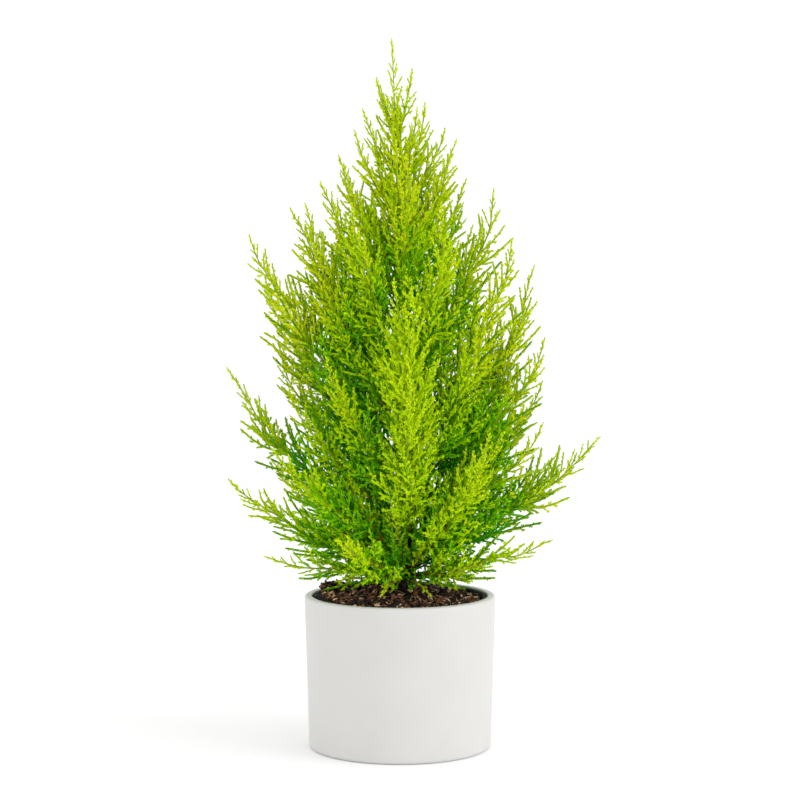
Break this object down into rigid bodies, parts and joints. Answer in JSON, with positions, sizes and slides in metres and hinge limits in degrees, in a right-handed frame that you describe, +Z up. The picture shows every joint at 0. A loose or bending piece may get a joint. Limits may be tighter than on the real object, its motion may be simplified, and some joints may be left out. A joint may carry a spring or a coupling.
{
  "type": "potted lemon cypress",
  "caption": "Young lemon cypress with feathery lime-green sprays round a slender trunk, standing in a plain white glazed cylinder pot.",
  "frame": {"origin": "centre of the pot's flat underside", "axes": "+Z up along the trunk, -Y the front as pictured, +X to the right of it"},
  "size_m": [0.3456, 0.2825, 0.6545],
  "materials": {
    "pot_glaze": "satin white glaze",
    "grow_pot_plastic": "moulded black plastic",
    "bark_mix": "moist composted bark",
    "bark": "thin reddish brown bark",
    "lime_foliage": "soft scale leaves, yellow lime",
    "shaded_foliage": "soft scale leaves, fresh green"
  },
  "bodies": {
    "root": {"bough_low_back_left": "bark", "bough_low_back_right": "bark", "bough_low_front_left": "bark", "bough_low_left": "bark", "bough_low_left_front": "bark", "bough_low_right": "bark", "bough_low_right_back": "bark", "bough_low_right_front": "bark", "foliage_back_crown": "shaded_foliage", "foliage_back_left_upper": "shaded_foliage", "foliage_back_right_upper": "shaded_foliage", "foliage_back_upper": "shaded_foliage", "foliage_collar_left": "lime_foliage", "foliage_collar_right": "lime_foliage", "foliage_front_crown": "lime_foliage", "foliage_front_left_upper": "lime_foliage", "foliage_front_right_inner": "shaded_foliage", "foliage_front_right_upper": "lime_foliage", "foliage_front_tip": "lime_foliage", "foliage_front_upper": "lime_foliage", "foliage_leader": "lime_foliage", "foliage_left_back_outer": "shaded_foliage", "foliage_left_crown": "lime_foliage", "foliage_left_front_inner": "shaded_foliage", "foliage_left_shoulder": "lime_foliage", "foliage_left_spire": "lime_foliage", "foliage_left_tip": "lime_foliage", "foliage_left_upper": "lime_foliage", "foliage_low_back_left": "shaded_foliage", "foliage_low_back_right": "shaded_foliage", "foliage_low_front": "lime_foliage", "foliage_low_front_left": "lime_foliage", "foliage_low_heart_back": "shaded_foliage", "foliage_low_heart_left": "shaded_foliage", "foliage_low_heart_right": "shaded_foliage", "foliage_low_left": "lime_foliage", "foliage_low_left_front": "lime_foliage", "foliage_low_right": "lime_foliage", "foliage_low_right_back": "shaded_foliage", "foliage_low_right_front": "lime_foliage", "foliage_mid_back_left": "shaded_foliage", "foliage_mid_back_right": "shaded_foliage", "foliage_mid_left": "lime_foliage", "foliage_right_crown": "lime_foliage", "foliage_right_front_shoulder": "lime_foliage", "foliage_right_outer": "lime_foliage", "foliage_right_shoulder": "lime_foliage", "foliage_right_spire": "lime_foliage", "foliage_right_tip": "lime_foliage", "foliage_right_upper": "lime_foliage", "foliage_skirt_back": "shaded_foliage", "foliage_skirt_front_right": "lime_foliage", "foliage_skirt_left": "lime_foliage", "foliage_skirt_right": "lime_foliage", "foliage_top_left": "lime_foliage", "foliage_top_right": "lime_foliage", "grow_pot": "grow_pot_plastic", "pot": "pot_glaze", "potting_mix": "bark_mix", "trunk": "bark"}
  },
  "joints": []
}
